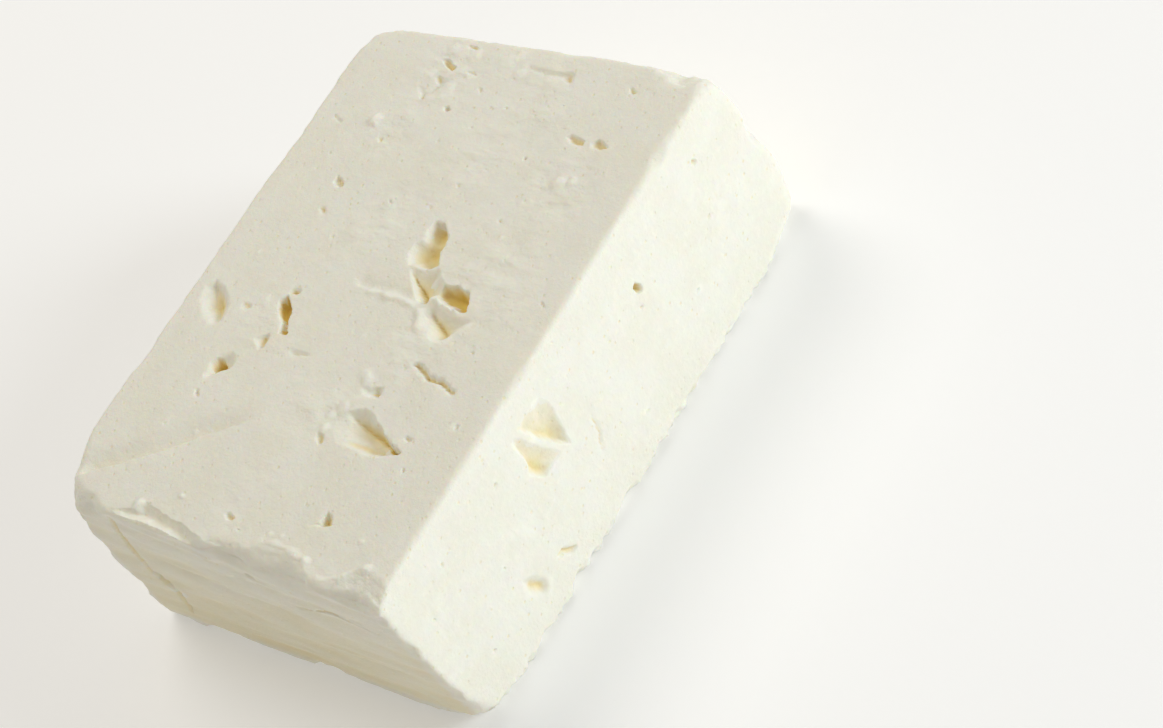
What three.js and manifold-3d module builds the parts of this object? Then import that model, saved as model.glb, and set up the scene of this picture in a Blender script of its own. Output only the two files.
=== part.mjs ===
// A slab of fresh white brined cheese, cut from a larger block and lying on its broad face.
// Millimetres, +Z up. X runs across the slab, Y along it, and the origin is the middle of its base.
import * as THREE from "three";
import { ConvexGeometry } from "three/addons/geometries/ConvexGeometry.js";
import { ImprovedNoise } from "three/addons/math/ImprovedNoise.js";
import { mergeVertices } from "three/addons/utils/BufferGeometryUtils.js";
import Module from "manifold-3d";

// Driving dimensions
const WIDTH = 69;
const LENGTH = 90;
const HEIGHT = 32;

// Rows of faces along each axis, and how far they crowd towards the edges there
const GRID = {
  x: { cells: 24, crowding: 0.75 },
  y: { cells: 30, crowding: 0.75 },
  z: { cells: 18, crowding: 0.4 },
};

// Edges: the clean knife cut, what crumbles off it, and the length of one crumbled stretch
const EDGE_RADIUS = 0.7;
const EDGE_CRUMBLE = 1.2;
const CRUMBLE_STRETCH = 7;

// Where edges and corners are worn: the place as a share of each half size, the radius there, and its reach
const WORN_SPOTS = [
  { at: [-1, -1, 1], radius: 5.5, reach: 13 },
  { at: [-1, 1, 1], radius: 2.8, reach: 9 },
  { at: [1, 1, 1], radius: 1.8, reach: 6 },
  { at: [1, -1, -1], radius: 3.6, reach: 10 },
  { at: [1, 1, -1], radius: 4.8, reach: 13 },
  { at: [-1, 1, -1], radius: 4, reach: 12 },
  { at: [-1, -1, -1], radius: 1.6, reach: 8 },
  { at: [-0.45, -1, 1], radius: 3.2, reach: 9 },
  { at: [-0.15, -1, 1], radius: 1.8, reach: 6 },
  { at: [0.36, -1, 1], radius: 2.8, reach: 8 },
  { at: [0.86, -1, 1], radius: 3.0, reach: 6 },
  { at: [0.78, 1, 1], radius: 2.6, reach: 8 },
  { at: [1, -0.69, -1], radius: 1.8, reach: 4 },
  { at: [1, -0.09, -1], radius: 1.6, reach: 4 },
];

// The two ends are cut a little out of square, so two feet stand out along Y
const FOOT_FLARE = 2;
const FLARED_FEET = [[-1, -1], [1, 1]];
const FLARE_TAPER = 3;

// The sides and the top swell a little, and the two ends show the layers of the curd
const SWELL = 0.35;
const SWELL_LENGTH = 26;
const LAYER_DEPTH = 0.7;
const LAYER_PITCH = 3.4;
const LAYER_LENGTH = 38;
const FACE_HOLD = 8;

// Where each of the three surface patterns starts in the noise
const CRUMBLE_SEED = new THREE.Vector3(3.7, 9.1, 5.3);
const SWELL_SEED = new THREE.Vector3(1.3, 4.9, 7.7);
const LAYER_SEED = new THREE.Vector3(6.1, 2.3, 0.4);

// A cutter starts this far outside the face that it cuts
const CUT_CLEARANCE = 1.5;

// Openings between the curds, as they lie on a face: the rim as [a, b], the floor as [a, b, depth].
// On the top a is x and b is y; on the two long sides a is y and b is z; on the ends a is x and b is z.
const OPENINGS = {
  top: {
    long_crack: {
      rim: [[-15.1, -5.4], [-13.7, -4.9], [-11.1, -7.6], [-9.4, -11.0], [-11.5, -11.2], [-14.7, -7.4]],
      floor: [[-15.6, -5.8, 4.2], [-14.0, -6.2, 5.2], [-11.8, -9.6, 4.6]],
    },
    corner_hole: {
      rim: [[-20.6, -18.4], [-19.4, -16.0], [-17.4, -15.3], [-14.6, -17.8], [-19.2, -21.9], [-20.7, -20.4]],
      floor: [[-19.6, -17.8, 3.0], [-18.4, -18.6, 2.8]],
    },
    side_groove: {
      rim: [[-31.2, -6.2], [-28.6, -5.5], [-24.0, -9.4], [-23.6, -12.2], [-26.0, -12.2], [-30.4, -8.8]],
      floor: [[-28.6, -6.8, 1.3], [-25.4, -10.2, 1.6]],
    },
    cluster_upper: {
      rim: [[3.9, 12.3], [6.0, 12.0], [9.0, 8.4], [9.6, 5.0], [4.4, 4.8], [2.8, 7.2]],
      floor: [[4.9, 11.0, 2.2], [6.6, 7.6, 2.6], [6.9, 5.9, 2.0]],
    },
    cluster_middle: {
      rim: [[4.6, 5.2], [9.4, 5.2], [13.4, 2.6], [12.6, -1.4], [9.2, 0.2], [5.6, 3.0]],
      floor: [[7.4, 4.0, 1.7], [10.0, 1.9, 2.4], [11.4, 0.7, 2.8]],
    },
    cluster_right: {
      rim: [[12.4, 2.4], [15.0, 2.8], [17.9, 2.3], [19.4, -0.8], [15.2, -0.4], [12.8, 0.4]],
      floor: [[14.0, 2.2, 3.0], [16.2, 2.6, 3.8], [16.8, 0.8, 3.4]],
    },
    cluster_lower: {
      rim: [[13.0, -0.6], [19.4, -0.8], [22.2, -1.7], [20.0, -4.8], [19.2, -5.3], [13.2, -1.9]],
      floor: [[15.4, -1.2, 0.9], [18.9, -3.4, 1.9], [17.0, -2.8, 1.9]],
    },
    flake_step: {
      rim: [[10.4, -1.2], [13.2, -1.6], [19.6, -5.0], [22.4, -9.0], [18.6, -9.2], [14.0, -5.0]],
      floor: [[12.8, -2.0, 0.7], [17.4, -4.6, 1.2], [20.4, -8.2, 0.7]],
    },
    wedge: {
      rim: [[8.0, -22.4], [11.4, -19.2], [13.2, -18.5], [17.8, -20.2], [23.6, -23.4], [13.0, -24.8]],
      floor: [[11.4, -20.2, 1.2], [16.4, -20.8, 2.6], [20.4, -22.0, 3.4]],
    },
  },
  right: {
    double_dent_front: {
      rim: [[-16.4, 20.8], [-15.9, 26.8], [-14.4, 28.0], [-11.4, 27.6], [-11.8, 20.4], [-14.0, 17.8]],
      floor: [[-14.8, 20.0, 1.8], [-14.4, 24.6, 1.3]],
    },
    double_dent_back: {
      rim: [[-13.4, 27.8], [-8.2, 27.4], [-6.9, 25.8], [-7.2, 20.6], [-8.4, 16.0], [-11.8, 21.2]],
      floor: [[-9.4, 24.4, 2.4], [-8.4, 20.2, 2.0]],
    },
    low_hollow: {
      rim: [[-28.6, 11.8], [-26.6, 10.8], [-24.2, 7.8], [-24.6, 5.4], [-27.0, 5.0], [-28.6, 7.6]],
      floor: [[-26.6, 8.4, 2.2], [-25.6, 6.8, 2.0]],
    },
  },
  left: {
    middle_dent: {
      rim: [[10.2, 12.6], [9.2, 18.0], [12.6, 21.8], [17.4, 19.6], [18.6, 14.2], [14.0, 11.4]],
      floor: [[12.4, 16.2, 2.2], [15.6, 17.4, 1.6]],
    },
    high_hollow: {
      rim: [[-24.8, 20.2], [-23.0, 24.6], [-19.4, 25.2], [-17.2, 22.4], [-20.6, 19.2]],
      floor: [[-21.8, 22.4, 2.4], [-20.0, 21.8, 1.8]],
    },
    low_wedge: {
      rim: [[-10.4, 6.2], [-7.2, 9.0], [-1.6, 8.4], [1.2, 6.6], [-5.0, 5.0]],
      floor: [[-7.0, 7.4, 2.4], [-3.2, 7.0, 1.8]],
    },
  },
  back: {
    split: {
      rim: [[-21.0, 14.2], [-12.6, 16.4], [-6.2, 15.2], [-13.0, 13.2]],
      floor: [[-15.4, 14.8, 2.0], [-10.4, 15.0, 1.6]],
    },
  },
  front: {
    split: {
      rim: [[-27.4, 3.2], [-26.4, 12.6], [-24.6, 15.4], [-23.8, 11.0], [-25.2, 3.4]],
      floor: [[-25.8, 6.4, 1.4], [-25.0, 11.6, 1.6]],
    },
  },
};

// Thin cracks: the line that they follow on the face, their width and their depth
const CRACKS = [
  { face: "top", line: [[16.4, -9.9], [18.4, -10.9], [21.0, -12.0], [26.6, -13.3]], width: 0.8, depth: 2.2 },
  { face: "right", line: [[-21.4, 7.8], [-19.6, 6.8], [-18.0, 4.8]], width: 1.0, depth: 1.4 },
  { face: "left", line: [[22.0, 24.6], [26.4, 23.4], [30.2, 23.8]], width: 0.9, depth: 1.6 },
];

// Small pits: place on the face, length, width, depth, and the turn of the long way in degrees
const PITS = {
  top: [
    [-13.6, 39.5, 4.4, 1.3, 1.3, -25],
    [-7.9, 31.3, 2.2, 1.4, 1.6, -30],
    [7.6, 41.0, 8.6, 1.3, 1.2, -5],
    [11.0, 40.2, 2.6, 1.6, 1.6, -45],
    [19.3, 29.9, 2.8, 1.4, 1.2, -15],
    [24.0, 29.8, 2.6, 1.3, 1.2, -25],
    [23.4, 39.9, 2.4, 1.0, 0.8, -30],
    [12.0, 25.3, 1.3, 0.9, 1.2, -30],
    [-19.8, 15.8, 3.6, 1.5, 1.4, -35],
    [-19.4, 10.5, 2.4, 1.0, 0.8, -20],
    [-13.4, -4.2, 1.6, 1.0, 1.4, 20],
    [-13.0, -12.4, 2.4, 1.6, 1.2, -45],
    [-18.3, -23.6, 2.2, 1.2, 1.2, -45],
    [13.2, -15.6, 3.2, 1.7, 1.5, -15],
    [8.8, -25.2, 2.6, 1.3, 1.0, -35],
    [18.8, -35.3, 2.8, 1.9, 1.8, -30],
    [2.1, -39.4, 2.4, 1.5, 1.1, -20],
  ],
  right: [
    [14.4, 21.9, 1.5, 2.0, 2.6, 0],
    [33.0, 26.0, 1.5, 1.8, 1.4, 0],
    [-3.7, 14.6, 0.9, 2.8, 0.9, -15],
  ],
};

// Pits on the other faces follow one even spread: how many, the size of the largest, the share of it that the
// smallest has, and the bare border and middle of a face
const SPREAD_PITS = { left: 9, back: 5, bottom: 9 };
const LARGEST_PIT = { length: 3.6, width: 2.0, depth: 1.8 };
const SMALLEST_SHARE = 0.45;
const SPREAD_MARGIN = 6;
const CLEAR_OF_CENTRE = 9;

// Steps from one pit to the next, as shares of a face's two sizes, of the size range and of half a turn
const SPREAD_STEP = { a: 0.7549, b: 0.5698, size: 0.618, turn: 0.382 };

// A pit's rim and shoulder: corners of each oval, and the shoulder's share of the rim's size and of the depth
const RIM_CORNERS = 7;
const SHOULDER = { corners: 5, size: 0.62, depth: 0.66 };

// A crack is shallower at its bends than the stated depth
const BEND_DEPTH = 0.7;

const HALF = new THREE.Vector3(WIDTH / 2, LENGTH / 2, HEIGHT / 2);
const noise = new ImprovedNoise();
const wasm = await Module();
wasm.setup();

// Places a point of a face, at a depth below it, in the slab's frame.
const FACES = {
  top: (a, b, depth) => new THREE.Vector3(a, b, HEIGHT - depth),
  bottom: (a, b, depth) => new THREE.Vector3(a, b, depth),
  right: (a, b, depth) => new THREE.Vector3(HALF.x - depth, a, b),
  left: (a, b, depth) => new THREE.Vector3(depth - HALF.x, a, b),
  back: (a, b, depth) => new THREE.Vector3(a, HALF.y - depth, b),
  front: (a, b, depth) => new THREE.Vector3(a, depth - HALF.y, b),
};

// The middle of a face and half its size, as [a, b] pairs.
const FACE_SPANS = {
  bottom: { middle: [0, 0], half: [HALF.x, HALF.y] },
  left: { middle: [0, HALF.z], half: [HALF.y, HALF.z] },
  back: { middle: [0, HALF.z], half: [HALF.x, HALF.z] },
};

const smooth = (t) => t * t * (3 - 2 * t);

// 1 at a distance of 0, falling smoothly to 0 at the reach.
const falloff = (distance, reach) => smooth(Math.max(0, 1 - distance / reach));

// Smooth noise, from -1 to 1, whose bumps are about as long as the given lengths.
function bumps(point, lengths, seed) {
  const at = point.clone().divide(lengths).add(seed);
  return noise.noise(at.x, at.y, at.z);
}

// Moves grid rows towards both ends of an axis, so that the rounded edges get the most faces.
function crowd(point) {
  for (const [axis, { crowding }] of Object.entries(GRID)) {
    const half = HALF[axis];
    point[axis] += (crowding * half * Math.sin((Math.PI * point[axis]) / half)) / Math.PI;
  }
  return point;
}

// How round the slab is at a point from its middle: a knife edge, crumbled in places, with worn spots.
function edgeRadius(point) {
  const stretch = new THREE.Vector3().setScalar(CRUMBLE_STRETCH);
  let radius = EDGE_RADIUS + EDGE_CRUMBLE * Math.abs(bumps(point, stretch, CRUMBLE_SEED));
  for (const { at, radius: worn, reach } of WORN_SPOTS) {
    const spot = new THREE.Vector3(...at).multiply(HALF);
    radius += (worn - EDGE_RADIUS) * falloff(spot.distanceTo(point), reach);
  }
  return radius;
}

// Carries a point of the plain box onto the box with round edges and corners.
function roundOff(point) {
  const radius = edgeRadius(point);
  const inner = HALF.clone().subScalar(radius);
  const core = point.clone().clamp(inner.clone().negate(), inner);
  const out = point.clone().sub(core);
  return out.lengthSq() === 0 ? point : core.add(out.setLength(radius));
}

// Lets the upright faces and the top swell, and draws in the layers of the two ends. The base stays flat.
function relief(point) {
  const share = point.clone().divide(HALF);
  const face = (value) => Math.sign(value) * Math.abs(value) ** FACE_HOLD;
  const upper = smooth(THREE.MathUtils.clamp((share.z + 1) / 2, 0, 1));
  const lift = SWELL * upper * bumps(point, new THREE.Vector3().setScalar(SWELL_LENGTH), SWELL_SEED);
  const layerSize = new THREE.Vector3(LAYER_LENGTH, LAYER_LENGTH, LAYER_PITCH);
  const layer = -LAYER_DEPTH * Math.abs(bumps(point, layerSize, LAYER_SEED));
  point.x += lift * face(share.x);
  point.y += (lift + layer) * face(share.y);
  point.z += lift * Math.max(0, face(share.z));
  return point;
}

// Pushes the two flared feet out along Y, most at the base and not at all at the top.
function flare(point) {
  const low = (1 - point.z / HALF.z) / 2;
  for (const [sideX, sideY] of FLARED_FEET) {
    const near = (1 + (sideX * point.x) / HALF.x) / 2;
    const end = Math.max(0, (sideY * point.y) / HALF.y) ** FLARE_TAPER;
    point.y += sideY * FOOT_FLARE * low * near * end;
  }
  return point;
}

// The slab before anything is missing from it.
function slabGeometry() {
  const box = new THREE.BoxGeometry(WIDTH, LENGTH, HEIGHT, GRID.x.cells, GRID.y.cells, GRID.z.cells);
  const position = box.getAttribute("position");
  for (let i = 0; i < position.count; i++) {
    const point = crowd(new THREE.Vector3().fromBufferAttribute(position, i));
    const shaped = flare(relief(roundOff(point)));
    position.setXYZ(i, shaped.x, shaped.y, shaped.z + HALF.z);
  }
  return box;
}

// A closed geometry as a solid that can be cut and joined.
function solidOf(geometry) {
  geometry.deleteAttribute("normal");
  geometry.deleteAttribute("uv");
  const merged = mergeVertices(geometry);
  const vertProperties = new Float32Array(merged.getAttribute("position").array);
  const triVerts = new Uint32Array(merged.index.array);
  return new wasm.Manifold(new wasm.Mesh({ numProp: 3, vertProperties, triVerts }));
}

// The hollow under a rim, as wide outside the face as at it, and narrowing to its floor points.
function openingCutter(face, { rim, floor }) {
  const place = FACES[face];
  const points = [
    ...rim.map(([a, b]) => place(a, b, -CUT_CLEARANCE)),
    ...rim.map(([a, b]) => place(a, b, 0)),
    ...floor.map(([a, b, depth]) => place(a, b, depth)),
  ];
  return solidOf(new ConvexGeometry(points));
}

// A small pit: an oval rim, a smaller oval shoulder part of the way down, and a blunt bottom.
function pitCutter(face, [a, b, length, width, depth, turn]) {
  const slant = THREE.MathUtils.degToRad(turn);
  const oval = (share, corners) =>
    Array.from({ length: corners }, (_, i) => {
      const angle = (i / corners) * 2 * Math.PI;
      const spoke = new THREE.Vector2(length * Math.cos(angle), width * Math.sin(angle));
      spoke.multiplyScalar(share / 2).rotateAround(new THREE.Vector2(), slant);
      return [a + spoke.x, b + spoke.y];
    });
  const shoulder = oval(SHOULDER.size, SHOULDER.corners).map((place) => [...place, depth * SHOULDER.depth]);
  return openingCutter(face, { rim: oval(1, RIM_CORNERS), floor: [...shoulder, [a, b, depth]] });
}

// A crack: one narrow wedge for each stretch of its line, joined end to end.
function crackCutter({ face, line, width, depth }) {
  const stretches = line.slice(1).map((end, i) => {
    const start = line[i];
    const along = new THREE.Vector2(...end).sub(new THREE.Vector2(...start)).setLength(width / 2);
    const across = new THREE.Vector2(-along.y, along.x);
    const shifted = (place, step, sign) => [place[0] + sign * step.x, place[1] + sign * step.y];
    const rim = [
      shifted(start, along, -1),
      shifted(start, across, 1),
      shifted(end, across, 1),
      shifted(end, along, 1),
      shifted(end, across, -1),
      shifted(start, across, -1),
    ];
    const floor = [start, end].map((place) => [...place, depth * BEND_DEPTH]);
    return openingCutter(face, { rim, floor });
  });
  return stretches.reduce((whole, stretch) => whole.add(stretch));
}

// Evenly spread pits on one face, each a different share of the largest. The middle of the face stays sound.
function spreadPits(face, count) {
  const { middle, half } = FACE_SPANS[face];
  const { length, width, depth } = LARGEST_PIT;
  const share = (i, step) => (0.5 + i * step) % 1;
  const pits = [];
  for (let i = 1; pits.length < count; i++) {
    const fromMiddle = [
      (2 * share(i, SPREAD_STEP.a) - 1) * (half[0] - SPREAD_MARGIN),
      (2 * share(i, SPREAD_STEP.b) - 1) * (half[1] - SPREAD_MARGIN),
    ];
    if (Math.hypot(...fromMiddle) < CLEAR_OF_CENTRE) continue;
    const size = SMALLEST_SHARE + (1 - SMALLEST_SHARE) * share(i, SPREAD_STEP.size);
    const turn = 180 * share(i, SPREAD_STEP.turn);
    const place = [middle[0] + fromMiddle[0], middle[1] + fromMiddle[1]];
    pits.push([...place, length * size, width * size, depth * size, turn]);
  }
  return pits;
}

// Everything that is missing from the slab.
function allCutters() {
  const cutters = CRACKS.map(crackCutter);
  for (const [face, openings] of Object.entries(OPENINGS))
    for (const opening of Object.values(openings)) cutters.push(openingCutter(face, opening));
  for (const [face, pits] of Object.entries(PITS)) for (const pit of pits) cutters.push(pitCutter(face, pit));
  for (const [face, count] of Object.entries(SPREAD_PITS))
    for (const pit of spreadPits(face, count)) cutters.push(pitCutter(face, pit));
  return cutters;
}

// A solid as a geometry whose base is centred on the origin.
function centredGeometry(solid) {
  const { vertProperties, triVerts } = solid.getMesh();
  const geometry = new THREE.BufferGeometry();
  geometry.setAttribute("position", new THREE.BufferAttribute(vertProperties, 3));
  geometry.setIndex(new THREE.BufferAttribute(triVerts, 1));
  geometry.computeBoundingBox();
  const { min, max } = geometry.boundingBox;
  geometry.translate(-(min.x + max.x) / 2, -(min.y + max.y) / 2, -min.z);
  geometry.computeVertexNormals();
  return geometry;
}

const curd = new THREE.MeshStandardMaterial({ color: 0xf4f1e6, roughness: 0.55, metalness: 0 });

const missing = allCutters().reduce((whole, cutter) => whole.add(cutter));
const block = new THREE.Mesh(centredGeometry(solidOf(slabGeometry()).subtract(missing)), curd);
block.name = "cheese_block";

const cheese = new THREE.Group();
cheese.add(block);

export default cheese;
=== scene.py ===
"""A slab of fresh white brined cheese: its cut faces, the openings between the curds, and the light on it.

Sizes are millimetres, as in the part's source, and become metres where a mesh, light or camera is placed.
"""
import math

import bmesh
import bpy
import numpy as np
from mathutils import Euler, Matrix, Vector, noise


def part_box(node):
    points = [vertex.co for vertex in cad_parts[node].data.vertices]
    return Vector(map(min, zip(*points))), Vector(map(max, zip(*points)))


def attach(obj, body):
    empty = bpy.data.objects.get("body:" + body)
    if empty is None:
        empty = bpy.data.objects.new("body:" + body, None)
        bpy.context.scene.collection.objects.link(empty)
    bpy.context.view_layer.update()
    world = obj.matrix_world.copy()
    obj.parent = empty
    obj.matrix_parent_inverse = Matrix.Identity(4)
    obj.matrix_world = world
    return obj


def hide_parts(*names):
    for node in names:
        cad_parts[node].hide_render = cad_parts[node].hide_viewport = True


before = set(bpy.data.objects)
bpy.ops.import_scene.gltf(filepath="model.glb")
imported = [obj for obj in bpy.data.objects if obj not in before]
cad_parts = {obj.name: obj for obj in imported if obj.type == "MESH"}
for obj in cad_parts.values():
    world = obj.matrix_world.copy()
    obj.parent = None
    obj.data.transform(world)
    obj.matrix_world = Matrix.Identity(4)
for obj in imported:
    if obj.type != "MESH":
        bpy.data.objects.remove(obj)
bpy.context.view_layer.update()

MM = 0.001

# Driving dimensions of the slab, which lies with the middle of its base at the origin
WIDTH = 69.0
LENGTH = 90.0
HEIGHT = 32.0
HALF = np.array([WIDTH, LENGTH, HEIGHT]) / 2
MIDDLE = np.array([0.0, 0.0, HEIGHT / 2])

# Rows of faces across, along and up the slab, and how far they crowd towards the edges
GRID_CELLS = (80, 104, 40)
CROWDING = (0.55, 0.55, 0.45)

# The cells are halved near every feature, again nearer to it, and once more this far inside and outside the
# rims of the faces that show most
FINE_MARGINS = (0.9, 0.35)
FINEST_BAND = (-0.16, 0.12)
FINEST_FACES = ("top", "right")

# Each face: the axis that it looks along, the way it looks, and the two axes that its places are given on
FACES = {
    "top": (2, 1, (0, 1)),
    "bottom": (2, -1, (0, 1)),
    "right": (0, 1, (1, 2)),
    "left": (0, -1, (1, 2)),
    "back": (1, 1, (0, 2)),
    "front": (1, -1, (0, 2)),
}

# Edges: the clean knife cut, and what crumbles off it: how much, the length of one crumbled stretch, and
# where the pattern starts in the noise
EDGE_RADIUS = 0.45
EDGE_CRUMBLE = (0.7, 7.0, (3.7, 9.1, 5.3))
FINE_CRUMBLE = (0.6, 1.8, (0.8, 4.4, 2.9))

# The lower right edge is the most ragged: what more crumbles there, how far from the edge, and the strip
# beside it that needs finer cells
RAGGED_CRUMBLE = (4.6, 1.8, (5.2, 1.6, 8.3))
RAGGED_REACH = 3.0
RAGGED_STRIP = 0.3

# Where edges and corners are worn: the place as a share of each half size, the radius there, and its reach
WORN_SPOTS = (
    ((-1, -1, 1), 5.5, 13.0),
    ((-1, 1, 1), 2.8, 9.0),
    ((1, 1, 1), 1.8, 6.0),
    ((1, -1, -1), 3.6, 10.0),
    ((1, 1, -1), 4.8, 13.0),
    ((-1, 1, -1), 4.0, 12.0),
    ((-1, -1, -1), 1.6, 8.0),
    ((0.86, 1, 1), 2.6, 7.0),
    ((0.12, -1, 1), 3.0, 8.0),
    ((0.46, -1, 1), 3.2, 9.0),
    ((0.86, -1, 1), 2.4, 7.0),
)

# Flakes broken off edges: the two faces that meet there, the place along the edge, the flake's length,
# and how far it reaches back on each of the two faces
EDGE_FLAKES = (
    ("top", "front", -27.0, 12.0, 2.0, 2.4),
    ("top", "back", 30.0, 12.0, 3.2, 2.2),
    ("top", "right", 29.5, 4.0, 0.9, 0.8),
    ("top", "right", -8.0, 5.0, 0.6, 0.6),
    ("right", "back", 18.5, 9.0, 1.8, 2.0),
    ("right", "bottom", -37.0, 3.0, 0.8, 0.9),
    ("right", "bottom", -30.0, 6.5, 1.3, 1.5),
    ("right", "bottom", -20.5, 5.5, 2.2, 2.0),
    ("right", "bottom", -17.0, 2.5, 1.0, 0.8),
    ("right", "bottom", -7.5, 8.0, 1.9, 1.7),
    ("right", "bottom", 6.0, 2.5, 0.8, 1.0),
    ("right", "bottom", 15.0, 7.0, 1.2, 1.4),
    ("right", "bottom", 27.0, 4.0, 1.1, 0.9),
    ("right", "front", 9.0, 6.0, 0.9, 1.6),
    ("right", "front", 22.0, 5.0, 0.7, 1.2),
    ("left", "front", 20.0, 10.0, 2.4, 1.6),
    ("left", "front", 9.0, 8.0, 1.4, 2.2),
    ("left", "top", 22.0, 8.0, 1.0, 0.8),
    ("left", "top", -20.0, 7.0, 1.2, 1.0),
    ("left", "bottom", 8.0, 9.0, 1.4, 1.2),
    ("front", "bottom", -30.0, 8.0, 1.3, 1.0),
    ("front", "bottom", -18.5, 15.0, 2.2, 2.4),
    ("front", "bottom", 3.5, 14.0, 2.4, 2.6),
    ("back", "bottom", -6.0, 8.0, 1.4, 1.2),
)

# The grain of the flakes' broken faces: how rough, the length of its bumps, and where it starts in the noise
FLAKE_GRAINS = ((0.45, 2.2, (8.1, 2.4, 5.0)), (0.135, 0.8, (1.7, 7.2, 3.3)))

# The two ends are cut a little out of square, so two feet stand out along Y
FOOT_FLARE = 2.0
FLARED_FEET = ((-1, -1), (1, 1))
FLARE_TAPER = 3

# Relief of the faces: how high, how long its bumps are, or how long along x, y and z, and where it starts
# in the noise
SWELL = (0.35, 26.0, (1.3, 4.9, 7.7))
LAYERS = (0.5, (22.0, 22.0, 3.2), (6.1, 2.3, 0.4))
FINE_LAYERS = (0.24, (11.0, 11.0, 1.2), (2.7, 8.8, 3.1))
WAVES = (0.10, (8.0, 6.0, 6.0), (5.5, 0.7, 2.2))
CURD = (0.05, 1.5, (0.6, 3.4, 9.2))
SMEARS = (0.2, (4.4, 2.4, 2.4), (4.4, 1.2, 6.3))

# How closely the relief keeps to each face, and how soon its waves start above the base
FACE_HOLD = 8
WAVE_START = 3

# Where the blade has smeared the curd: at random all over, and most around these places of the top, with the
# distance that each one reaches
SMEAR_PATCHES = (0.9, (14.0, 12.0, 12.0), (9.4, 5.8, 2.6))
SMEARED_SPOTS = (
    (-12.0, 38.0, 12.0), (6.0, 40.0, 10.0), (-16.0, 26.0, 9.0), (22.0, 22.0, 10.0), (20.0, 6.0, 13.0),
    (-6.0, 12.0, 12.0), (4.0, 24.0, 10.0), (14.0, -8.0, 8.0), (-14.0, -10.0, 9.0), (8.0, -20.0, 7.0),
)

# The cut ends are yellower at the foot than at the top, inside this margin, and where their layers lie deep
# This yellow is painted warm shade, most at the foot and in the grooves between the layers
END_TINTS = (0.31, 0.1)
LAYER_TINT = 0.25
END_MARGIN = 3.0

# The grain of a broken surface, which grows with the depth of the opening up to this depth
FRACTURE = (0.16, 1.3, (3.8, 7.1, 0.9))
FINE_FRACTURE = (0.07, 0.6, (8.2, 0.3, 5.6))
FRACTURE_DEPTH = 0.8

# Rims and lines wander by this much, over bumps of this length, each way from its own start in the noise
WANDER = (0.24, 2.4)
TREMBLE = (0.16, 0.9)
WANDER_SEEDS = ((7.3, 1.9, 4.2), (2.1, 6.6, 8.5))

# Painted warm shade colours an opening from this far inside its rim, and mostly where it is deep. A rim gets
# a
# painted highlight in patches: how white, how far from the rim, and the length of a patch
SHADE_EASE = 0.45
SHADE_CLIMB = 2.0
RIM_HIGHLIGHT = 0.9
RIM_REACH = 1.1
RIM_PATCHES = (2.0, 2.6, (6.7, 3.9, 1.4))

# A rim is eased over this width: a steep one, and a gentle one
RIM_EASE = 0.3
GENTLE_EASE = 1.4
HOLLOW_START = 0.02

# Openings that run over the upper edge draw the side below them down, least at its foot
SAG_TAPER = 3

# Rims and creases are softened this often, each time by this share
SOFTENING_ROUNDS = 1
SOFTENING = 0.5

# Points closer than this lie on the same plane, and no length is divided by less than this
SAME_PLACE = 1e-4
TINY = 1e-6
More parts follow.
